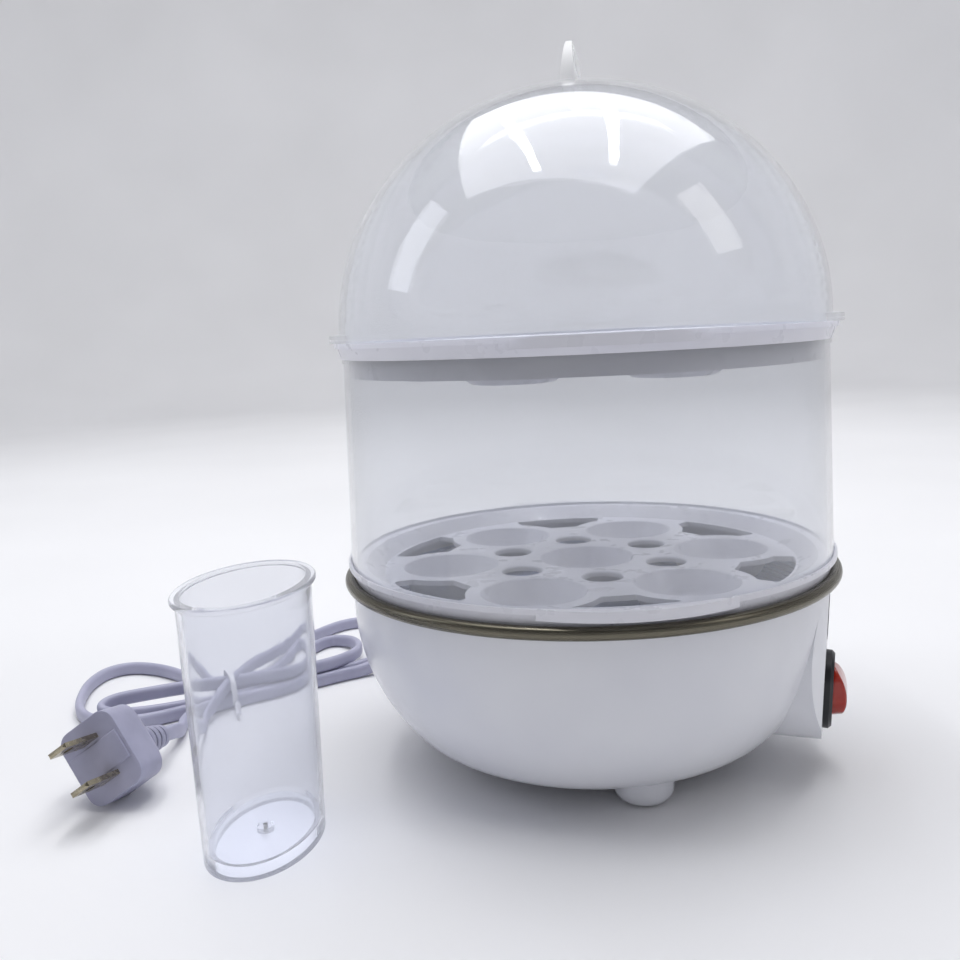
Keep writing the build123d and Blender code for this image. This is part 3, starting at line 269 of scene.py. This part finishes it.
FACE_LONG, FACE_SHORT = 24.5 * MM, 20.0 * MM
BLOCK_DEEP = 11.8 * MM
SHOULDER_DEEP = 7.2 * MM
SLEEVE_DEEP = 15.0 * MM

# %% The block with its tapered back and raised band
start_clean()
bpy.ops.mesh.primitive_cube_add(size=1, location=(0, 0, -BLOCK_DEEP / 2),
                                scale=(FACE_LONG, FACE_SHORT, BLOCK_DEEP))
block = bpy.context.object
bpy.ops.object.transform_apply(location=True, rotation=True, scale=True)
choose_faces(block, lambda c, n: n.z < -0.9)
bpy.ops.mesh.extrude_region_move(TRANSFORM_OT_translate={"value": (0, 0, -SHOULDER_DEEP * 0.45)})
bpy.ops.transform.resize(value=(0.82, 0.84, 1))
bpy.ops.mesh.extrude_region_move(TRANSFORM_OT_translate={"value": (0, 0, -SHOULDER_DEEP * 0.55)})
bpy.ops.transform.resize(value=(0.68, 0.72, 1))
choose_faces(block, lambda c, n: n.z > 0.9)
bpy.ops.mesh.inset(thickness=1.2 * MM)
bpy.ops.transform.resize(value=(0.42, 1, 1))
bpy.ops.mesh.extrude_region_move(TRANSFORM_OT_translate={"value": (0, 0, 0.55 * MM)})
done_editing()
bpy.ops.object.mode_set(mode="EDIT")
bpy.ops.mesh.select_mode(type="EDGE")
form = bmesh.from_edit_mesh(block.data)
for edge in form.edges:
    a, b = (v.co for v in edge.verts)
    lengthwise = abs((b - a).normalized().z) > 0.55
    edge.select = lengthwise and max(abs(a.x), abs(b.x)) > 5 * MM and (b - a).length > 1.5 * MM
bmesh.update_edit_mesh(block.data)
bpy.ops.mesh.bevel(offset=4.2 * MM, segments=6, affect="EDGES")
done_editing()
bevelled(block, 0.7 * MM, 3, angle=25)

# %% The ribbed sleeve
RIBS = 4
SLEEVE_START = 5.6             # radii, in millimetres
RIB_START = 5.5
RIB_TAPER = 1.75
NECK_STEP = 1.0
start_clean()
bpy.ops.mesh.primitive_cylinder_add(vertices=40, radius=SLEEVE_START * MM, depth=1.6 * MM,
                                    location=(0, 0, -BLOCK_DEEP - SHOULDER_DEEP + 0.2 * MM))
sleeve = bpy.context.object
bpy.ops.object.transform_apply(location=True, rotation=True, scale=True)
rib_step = (SLEEVE_DEEP - 1.0 * MM) / (RIBS * 2)
wide_now = SLEEVE_START
for k in range(RIBS):
    target = RIB_START - RIB_TAPER * (k + 1) / RIBS
    choose_faces(sleeve, lambda c, n: n.z < -0.9)
    neck = target - NECK_STEP
    bpy.ops.mesh.extrude_region_move(TRANSFORM_OT_translate={"value": (0, 0, 0)})
    bpy.ops.transform.resize(value=(neck / wide_now, neck / wide_now, 1))
    bpy.ops.mesh.extrude_region_move(TRANSFORM_OT_translate={"value": (0, 0, -rib_step * 0.8)})
    bpy.ops.mesh.extrude_region_move(TRANSFORM_OT_translate={"value": (0, 0, 0)})
    bpy.ops.transform.resize(value=(target / neck, target / neck, 1))
    bpy.ops.mesh.extrude_region_move(TRANSFORM_OT_translate={"value": (0, 0, -rib_step * 1.2)})
    wide_now = target
    done_editing()
bevelled(sleeve, 0.25 * MM, 2, angle=40)
plug_moulding = joined("plug_moulding", [block, sleeve])
put_in_place(plug_moulding, plug_matrix)
smooth(plug_moulding)
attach(plug_moulding, "base")
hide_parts("plug_body")
print("plug moulding", len(plug_moulding.data.polygons), "faces")

# %% [markdown]
# ## Twist tie
# The hank is held by a paper-thin plastic ribbon with a wire in it. The band is a ring of faces stretched
# to the bundle's shape and given a thickness. Its two ends are twisted together, which the Simple Deform
# modifier does to a thin bar.

# %% The band round the bundle
TIE_LOW, TIE_HIGH = -14.8, 1.6
TIE_TOP = 12.3
start_clean()
bpy.ops.mesh.primitive_circle_add(vertices=48, radius=1, rotation=(0, math.pi / 2, 0))
band = bpy.context.object
bpy.ops.object.transform_apply(location=True, rotation=True, scale=True)
all_chosen(band)
bpy.ops.mesh.extrude_edges_move(TRANSFORM_OT_translate={"value": (2.6 * MM, 0, 0)})
done_editing()
middle_v, half_v = (TIE_LOW + TIE_HIGH) / 2, (TIE_HIGH - TIE_LOW) / 2
for vertex in band.data.vertices:
    y, z = vertex.co.y, vertex.co.z
    fuller = 1.0 / max((abs(y) ** 3.2 + abs(z) ** 3.2) ** (1 / 3.2), 1e-6)
    across = middle_v + y * fuller * half_v
    lift = 0.5 + (z * fuller * 0.5 + 0.5) * (TIE_TOP - 0.5)
    vertex.co = (vertex.co.x - 2.8 * MM, across * MM, lift * MM)
wall = band.modifiers.new("wall", "SOLIDIFY")
wall.thickness = 0.35 * MM
wall.offset = 0
bpy.ops.object.modifier_apply(modifier=wall.name)

# %% The twisted ends
start_clean()
bpy.ops.mesh.primitive_cube_add(size=1, scale=(11 * MM, 2.2 * MM, 0.5 * MM))
ends = bpy.context.object
bpy.ops.object.transform_apply(location=True, rotation=True, scale=True)
all_chosen(ends)
bpy.ops.mesh.subdivide(number_cuts=30)
done_editing()
twist = ends.modifiers.new("twist", "SIMPLE_DEFORM")
twist.deform_method = "TWIST"
twist.deform_axis = "X"
twist.angle = math.radians(760)
bpy.ops.object.modifier_apply(modifier=twist.name)
ends.data.transform(Matrix.Translation((-1.5 * MM, (TIE_LOW - 5.2) * MM, 2.6 * MM))
                    @ Matrix.Rotation(math.radians(78), 4, "Z"))
tie_ribbon = joined("tie_ribbon", [band, ends])
hank_matrix = Matrix.Translation((HANK_AT[0] * MM, HANK_AT[1] * MM, 0)) @ Matrix.Rotation(HANK_TURN, 4, "Z")
put_in_place(tie_ribbon, hank_matrix)
smooth(tie_ribbon, 50)
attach(tie_ribbon, "base")
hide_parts("twist_tie")

# %% [markdown]
# ## Printed mark
# The flat face above the switch carries a small printed mark. A plain egg outline stands in for it: a
# circle of edges is narrowed towards its top, made a ring by an inset, and given a film's thickness.

# %% A ring in the shape of an egg
FACET_AT = Vector((72.6, 0, 24.0)) * MM
MARK_RADIUS = 6.8 * MM
MARK_RISE = 23.0 * MM
INK_THICK = 0.08 * MM
facet_lean = math.radians(2.5)
facet_z = Vector((math.cos(facet_lean), 0, -math.sin(facet_lean)))
facet_x = Vector((0, 1, 0))
facet_y = facet_z.cross(facet_x)
facet_turn = Matrix((facet_x, facet_y, facet_z)).transposed().to_4x4()
facet_matrix = Matrix.Translation(FACET_AT) @ facet_turn

start_clean()
bpy.ops.mesh.primitive_circle_add(vertices=72, radius=MARK_RADIUS, fill_type="NGON")
egg_mark = bpy.context.object
egg_mark.name = "egg_mark"
for vertex in egg_mark.data.vertices:
    rise = vertex.co.y / MARK_RADIUS
    vertex.co.x *= 0.84 - 0.13 * rise
    vertex.co.y *= 1.08
choose_faces(egg_mark, lambda c, n: True)
bpy.ops.mesh.inset(thickness=0.9 * MM)
bpy.ops.mesh.delete(type="FACE")
all_chosen(egg_mark)
bpy.ops.mesh.extrude_region_move(TRANSFORM_OT_translate={"value": (0, 0, INK_THICK)})
all_chosen(egg_mark)
bpy.ops.mesh.normals_make_consistent(inside=False)
done_editing()
put_in_place(egg_mark, facet_matrix @ Matrix.Translation((0, MARK_RISE, 0.01 * MM)))
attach(egg_mark, "base")

# %% [markdown]
# ## Materials
# A colour is written as a web-style hex value, which is in sRGB, and turned to the linear light that the
# renderer works in. One small function adds a node with its settings and its links, so that a material
# reads as a short list.

# %% Colour and node helpers
def linear(hex_colour):
    values = [int(hex_colour[k:k + 2], 16) / 255 for k in (1, 3, 5)]
    return (*[v / 12.92 if v <= 0.04045 else ((v + 0.055) / 1.055) ** 2.4 for v in values], 1.0)


def add_node(tree, kind, settings=(), inputs=()):
    """Adds a node. settings are its own fields; inputs are socket values, or (node, output) links."""
    node = tree.nodes.new(kind)
    for field, value in dict(settings).items():
        setattr(node, field, value)
    for socket, value in dict(inputs).items():
        if isinstance(value, tuple) and len(value) == 2 and hasattr(value[0], "outputs"):
            tree.links.new(value[0].outputs[value[1]], node.inputs[socket])
        else:
            node.inputs[socket].default_value = value
    return node


def new_material(name, **shader_values):
    material = bpy.data.materials.new(name)
    material.use_nodes = True
    shader = material.node_tree.nodes["Principled BSDF"]
    for socket, value in shader_values.items():
        shader.inputs[socket.replace("_", " ")].default_value = value
    return material, material.node_tree, shader


def grain(tree, size_mm, detail=3.0, stretch=(1, 1, 1)):
    """A noise whose patches are about size_mm across, on the object's own coordinates."""
    place = add_node(tree, "ShaderNodeTexCoord")
    scaled = add_node(tree, "ShaderNodeMapping", {}, {"Vector": (place, "Object"), "Scale": stretch})
    return add_node(tree, "ShaderNodeTexNoise", {}, {
        "Vector": (scaled, "Vector"), "Scale": 1000.0 / size_mm, "Detail": detail})


def spread(tree, source, output, low, high, start=0.3, stop=0.7):
    """Maps a noise to a range of values."""
    return add_node(tree, "ShaderNodeMapRange", {}, {
        "Value": (source, output), "From Min": start, "From Max": stop, "To Min": low, "To Max": high})


def raised(tree, shader, source, output, height_mm, strength=1.0):
    bump = add_node(tree, "ShaderNodeBump", {}, {
        "Height": (source, output), "Strength": strength, "Distance": height_mm * MM})
    tree.links.new(bump.outputs["Normal"], shader.inputs["Normal"])
    return bump


def two_colours(tree, shader, source, output, dark, light):
    mix = add_node(tree, "ShaderNodeMix", {"data_type": "RGBA"}, {"Factor": (source, output)})
    mix_inputs = [s for s in mix.inputs if s.type == "RGBA"]
    mix_inputs[0].default_value = linear(dark)
    mix_inputs[1].default_value = linear(light)
    colour_out = [s for s in mix.outputs if s.type == "RGBA"][0]
    tree.links.new(colour_out, shader.inputs["Base Color"])
    return colour_out


# %% [markdown]
# ### White polypropylene
# The bowl and the trays are injection moulded from white polypropylene in a polished mould. The surface
# is glossy but never a mirror: it has a soft ripple a few millimetres across, and its whiteness drifts a
# little where the plastic flowed.

# %% Moulded white plastic
def moulded_white(name, dark, light, low_rough, high_rough):
    material, tree, shader = new_material(name, IOR=1.49)
    drift = grain(tree, 35.0, 2.0)
    two_colours(tree, shader, spread(tree, drift, "Fac", 0.0, 1.0), "Result", dark, light)
    patch = grain(tree, 6.0, 4.0)
    rough = spread(tree, patch, "Fac", low_rough, high_rough)
    tree.links.new(rough.outputs["Result"], shader.inputs["Roughness"])
    raised(tree, shader, grain(tree, 2.5, 2.0), "Fac", 0.012, 0.6)
    return material


bowl_white = moulded_white("white_polypropylene_gloss", "#E4E5EC", "#ECEDF2", 0.13, 0.24)
tray_white = moulded_white("white_polypropylene_satin", "#DEDEE7", "#E8E8EE", 0.24, 0.38)

# %% [markdown]
# ### Clear polystyrene
# The ring, the lid and the measuring cup are clear polystyrene. Light passes through and bends at each
# wall, so the shader has full transmission. Handling leaves it a faint haze, and the wall's thickness
# wanders a little over a few centimetres, which makes reflections waver. The haze shows most where the
# eye looks along the wall, near the dome's outline, so less light goes through there. A path tracer finds
# it hard to send lamp light through two bent walls, so rays that only ask whether a lamp is in sight pass
# straight through, as if the wall weren't there. That keeps the trays inside as bright as they are in life.

# %% Clear plastic
EDGE_CLEAR = 0.35              # share of the light let through at the outline
PASSING = "#F4F5F8"


def moulded_clear(name, tint, low_rough, high_rough, wave_mm, ior=1.5, clear=0.88):
    material, tree, shader = new_material(name, IOR=ior, Transmission_Weight=clear)
    shader.inputs["Base Color"].default_value = linear(tint)
    haze = spread(tree, grain(tree, 18.0, 5.0), "Fac", low_rough, high_rough)
    tree.links.new(haze.outputs["Result"], shader.inputs["Roughness"])
    raised(tree, shader, grain(tree, 30.0, 1.0), "Fac", wave_mm, 0.5)
    edge = add_node(tree, "ShaderNodeLayerWeight", {}, {"Blend": 0.25})
    through = add_node(tree, "ShaderNodeMapRange", {}, {
        "Value": (edge, "Facing"), "From Min": 0.35, "From Max": 1.0,
        "To Min": clear, "To Max": clear * EDGE_CLEAR})
    tree.links.new(through.outputs["Result"], shader.inputs["Transmission Weight"])
    ray = add_node(tree, "ShaderNodeLightPath")
    open_way = add_node(tree, "ShaderNodeBsdfTransparent", {}, {"Color": linear(PASSING)})
    both = add_node(tree, "ShaderNodeMixShader", {}, {
        0: (ray, "Is Shadow Ray"), 1: (shader, "BSDF"), 2: (open_way, "BSDF")})
    tree.links.new(both.outputs[0], tree.nodes["Material Output"].inputs["Surface"])
    return material


clear_wall = moulded_clear("clear_polystyrene", "#FCFDFF", 0.01, 0.045, 0.08)
clear_cup = moulded_clear("clear_polystyrene_cup", "#FAFBFF", 0.02, 0.07, 0.05, ior=1.18, clear=0.87)
clear_fin = moulded_clear("clear_polystyrene_fin", "#FFFFFF", 0.25, 0.4, 0.02, ior=1.35, clear=0.35)

# %% [markdown]
# ### Stainless steel
# The dish is spun from thin stainless sheet, which leaves fine rings round its axis. Its rolled rim is
# coloured a darker, browner grey than the inside, so the colour changes with the distance from the axis.
# A noise that reads only the distance from the axis and the height is the same all the way round, so it
# draws those rings.
# The rings are drawn about half a millimetre apart, coarser than real ones, so that they show.

# %% Spun steel
def spun_metal(name, dark, light, low_rough, high_rough, ring_mm, rim_from_mm=None, rim_colour=None):
    material, tree, shader = new_material(name, Metallic=1.0)
    place = add_node(tree, "ShaderNodeTexCoord")
    parts = add_node(tree, "ShaderNodeSeparateXYZ", {}, {"Vector": (place, "Object")})
    flat = add_node(tree, "ShaderNodeCombineXYZ", {}, {"X": (parts, "X"), "Y": (parts, "Y")})
    radius = add_node(tree, "ShaderNodeVectorMath", {"operation": "LENGTH"}, {0: (flat, "Vector")})
    rings_at = add_node(tree, "ShaderNodeCombineXYZ", {}, {"X": (radius, "Value"), "Z": (parts, "Z")})
    rings = add_node(tree, "ShaderNodeTexNoise", {}, {
        "Vector": (rings_at, "Vector"), "Scale": 1000.0 / ring_mm, "Detail": 4.0})
    inside = two_colours(tree, shader, spread(tree, rings, "Fac", 0.0, 1.0), "Result", dark, light)
    if rim_from_mm:
        on_rim = spread(tree, radius, "Value", 0.0, 1.0, rim_from_mm * MM, (rim_from_mm + 0.6) * MM)
        both = add_node(tree, "ShaderNodeMix", {"data_type": "RGBA"}, {"Factor": (on_rim, "Result")})
        first, second = [s for s in both.inputs if s.type == "RGBA"]
        tree.links.new(inside, first)
        second.default_value = linear(rim_colour)
        tree.links.new([s for s in both.outputs if s.type == "RGBA"][0], shader.inputs["Base Color"])
    rough = spread(tree, rings, "Fac", low_rough, high_rough)
    tree.links.new(rough.outputs["Result"], shader.inputs["Roughness"])
    raised(tree, shader, rings, "Fac", 0.01, 0.5)
    return material


# The inside's blue-grey colour is a painted reflection; bare stainless steel is a nearly neutral grey.
dish_steel = spun_metal("spun_stainless_steel", "#A9B3D2", "#C3CCE4", 0.2, 0.36, 0.5,
                         rim_from_mm=73.2, rim_colour="#6E6A5E")
spreader_metal = spun_metal("turned_aluminium", "#A9AAAC", "#C6C7C9", 0.3, 0.45, 0.8)

# %% [markdown]
# ### Small metal parts
# Zinc-plated screws and clips, brass contacts and the dark steel sheath of the heater share one recipe:
# a metal whose colour and roughness vary over a millimetre or two, as plating and oxide do.

# %% Plated, bare and heated metal
def small_metal(name, dark, light, low_rough, high_rough, patch_mm):
    material, tree, shader = new_material(name, Metallic=1.0)
    patch = grain(tree, patch_mm, 4.0)
    two_colours(tree, shader, spread(tree, patch, "Fac", 0.0, 1.0), "Result", dark, light)
    rough = spread(tree, patch, "Fac", low_rough, high_rough)
    tree.links.new(rough.outputs["Result"], shader.inputs["Roughness"])
    raised(tree, shader, grain(tree, 0.6, 2.0), "Fac", 0.01, 0.4)
    return material


zinc_plate = small_metal("zinc_plated_steel", "#9FA2A6", "#C2C4C6", 0.25, 0.4, 1.5)
contact_brass = small_metal("brass_contact", "#A98F55", "#C7AF74", 0.22, 0.38, 1.2)
blade_nickel = small_metal("nickel_plated_brass", "#9A917C", "#BDB59F", 0.18, 0.32, 2.0)
sheath_steel = small_metal("heated_steel_sheath", "#4A443E", "#6B6258", 0.4, 0.6, 3.0)

# %% [markdown]
# ### Vinyl, nylon and the red rocker
# The cord and plug are soft vinyl with a dull sheen. The switch's housing is black nylon with a fine
# texture. Its rocker is a red see-through plastic with a lamp behind it, so part of the light goes in.

# %% Vinyl, black nylon, phenolic and lamp glass
def soft_plastic(name, dark, light, low_rough, high_rough, patch_mm, texture_mm, height_mm, **extra):
    material, tree, shader = new_material(name, IOR=1.5, **extra)
    patch = grain(tree, patch_mm, 3.0)
    two_colours(tree, shader, spread(tree, patch, "Fac", 0.0, 1.0), "Result", dark, light)
    rough = spread(tree, patch, "Fac", low_rough, high_rough)
    tree.links.new(rough.outputs["Result"], shader.inputs["Roughness"])
    raised(tree, shader, grain(tree, texture_mm, 2.0), "Fac", height_mm, 0.6)
    return material


cord_vinyl = soft_plastic("grey_vinyl_cord", "#A4A4BC", "#B2B2C8", 0.36, 0.5, 14.0, 0.9, 0.02)
plug_vinyl = soft_plastic("grey_vinyl_plug", "#9A9AB1", "#A9A9BF", 0.38, 0.52, 9.0, 0.7, 0.03)
black_nylon = soft_plastic("black_nylon", "#121318", "#1D1E25", 0.28, 0.42, 4.0, 0.5, 0.02)
phenolic = soft_plastic("brown_phenolic", "#2A1C15", "#3B291F", 0.45, 0.6, 3.0, 0.6, 0.02)
tie_plastic = soft_plastic("white_tie_ribbon", "#E6E6EC", "#F4F4F7", 0.3, 0.42, 2.0, 0.5, 0.02)
mark_ink = soft_plastic("printed_ink", "#2B2D36", "#3A3D48", 0.4, 0.5, 2.0, 0.4, 0.005)

# %% Red rocker and lamp glass
rocker_red = soft_plastic("red_clear_plastic", "#B3200F", "#D33418", 0.1, 0.18, 5.0, 2.0, 0.01)
rocker_shader = rocker_red.node_tree.nodes["Principled BSDF"]
rocker_shader.inputs["Transmission Weight"].default_value = 0.35
rocker_shader.inputs["Coat Weight"].default_value = 0.4
rocker_shader.inputs["Coat Roughness"].default_value = 0.05
lamp_glass = moulded_clear("lamp_glass", "#FFD9C4", 0.02, 0.06, 0.01, clear=1.0)

# %% [markdown]
# ### Putting the finishes on
# Each solid part has one material slot. Setting the slot's material changes the look and leaves the mesh
# as it is.

# %% A finish for every part
finishes = {
    bowl_white: ["base_shell", "bottom_cover"],
    tray_white: ["lower_tray", "upper_tray"],
    clear_wall: ["steam_ring", "lid_dome"],
    clear_fin: ["lid_handle"],
    clear_cup: ["measuring_cup"],
    dish_steel: ["heating_dish", "piercing_pin"],
    spreader_metal: ["heat_spreader"],
    zinc_plate: ["cover_screws", "heater_bracket", "stud_nut", "thermal_fuse", "fuse_clip", "plunger_spring"],
    sheath_steel: ["heating_element"],
    contact_brass: ["contact_lever", "switch_terminals"],
    blade_nickel: ["plug_blades"],
    phenolic: ["thermostat", "rocker_plunger"],
    black_nylon: ["switch_housing"],
    rocker_red: ["switch_rocker"],
    lamp_glass: ["neon_lamp"],
    plug_vinyl: ["cord_gland"],
}
finished = 0
for material, names in finishes.items():
    for name in names:
        for slot in nodes[name].material_slots:
            slot.material = material
        finished += 1
for piece, material in ((flat_cord, cord_vinyl), (plug_moulding, plug_vinyl), (tie_ribbon, tie_plastic),
                        (egg_mark, mark_ink)):
    piece.data.materials.clear()
    piece.data.materials.append(material)
print(finished, "parts finished")

# %% [markdown]
# ## Stage and light
# A white sweep, floor and wall in one smooth sheet, gives an even background from every side. It is a
# filled circle whose rim is extruded outwards and upwards in steps. A broad ceiling light makes the floor
# bright and leaves the bowl's front in soft shade. Two tube lights overhead draw the slim bars on the
# dome, two boxes at the sides put a highlight on each of its shoulders, and one more light washes the
# wall behind.

# %% The sweep
FLOOR_RADIUS = 1.6
start_clean()
bpy.ops.mesh.primitive_circle_add(vertices=96, radius=FLOOR_RADIUS, fill_type="NGON")
sweep = bpy.context.object
sweep.name = "white_sweep"
bpy.ops.object.mode_set(mode="EDIT")
bpy.ops.mesh.select_mode(type="EDGE")
bpy.ops.mesh.select_all(action="SELECT")
bpy.ops.mesh.region_to_loop()
SWEEP_BEND = 0.6
WALL_ABOVE_BEND = 1.2
STEPS = 12
reach, height = FLOOR_RADIUS, 0.0
for k in range(1, STEPS + 1):
    swing = math.pi / 2 * k / STEPS
    new_reach = FLOOR_RADIUS + SWEEP_BEND * math.sin(swing)
    new_height = SWEEP_BEND * (1 - math.cos(swing))
    bpy.ops.mesh.extrude_edges_move(TRANSFORM_OT_translate={"value": (0, 0, new_height - height)})
    bpy.ops.transform.resize(value=(new_reach / reach, new_reach / reach, 1))
    reach, height = new_reach, new_height
bpy.ops.mesh.extrude_edges_move(TRANSFORM_OT_translate={"value": (0, 0, WALL_ABOVE_BEND)})
done_editing()
smooth(sweep, 40)
paper, paper_tree, paper_shader = new_material("matt_white_paper", Roughness=0.8)
mottle = spread(paper_tree, grain(paper_tree, 300.0, 2.0), "Fac", 0.0, 1.0)
two_colours(paper_tree, paper_shader, mottle, "Result", "#E9E9EB", "#EFEFF1")
sweep.data.materials.append(paper)

# %% The lights
def soft_light(name, at, towards, size, watts, colour="#FFFFFF"):
    data = bpy.data.lights.new(name, "AREA")
    data.shape = "RECTANGLE"
    data.size, data.size_y = size
    data.energy = watts
    data.color = linear(colour)[:3]
    light = bpy.data.objects.new(name, data)
    bpy.context.scene.collection.objects.link(light)
    light.location = at
    light.rotation_euler = (Vector(towards) - Vector(at)).to_track_quat("-Z", "Y").to_euler()
    return light


soft_light("ceiling", (-0.1, 0.3, 1.5), (-0.1, 0.3, 0), (1.7, 1.7), 19.0, "#FBFCFF")
TUBE_HEIGHT = 1.35
for name, across in (("tube_left", -0.3), ("tube_right", 0.24)):
    middle = Vector((0, 0, TUBE_HEIGHT)) + across * CAMERA_RIGHT - 0.16 * CAMERA_BACK
    tube = soft_light(name, middle, middle - Vector((0, 0, 1)), (0.9, 0.06), 2.2)
    tube.rotation_euler = (0, 0, math.atan2(CAMERA_BACK.y, CAMERA_BACK.x))
soft_light("wall_wash", (-0.15, 0.55, 1.75), (-0.72, 2.1, 0.7), (1.4, 0.5), 5.0)
soft_light("light_left", (-1.0, -0.3, 0.72), (0, 0, 0.12), (0.3, 0.65), 1.1, "#F6F9FF")
soft_light("light_right", (0.95, -0.05, 0.85), (0, 0, 0.12), (0.3, 0.55), 0.9, "#FFFDFA")
world = bpy.data.worlds.new("soft_room")
world.use_nodes = True
world.node_tree.nodes["Background"].inputs["Color"].default_value = linear("#F1F2F6")
world.node_tree.nodes["Background"].inputs["Strength"].default_value = 0.12
bpy.context.scene.world = world
bpy.context.scene.view_settings.view_transform = "Standard"
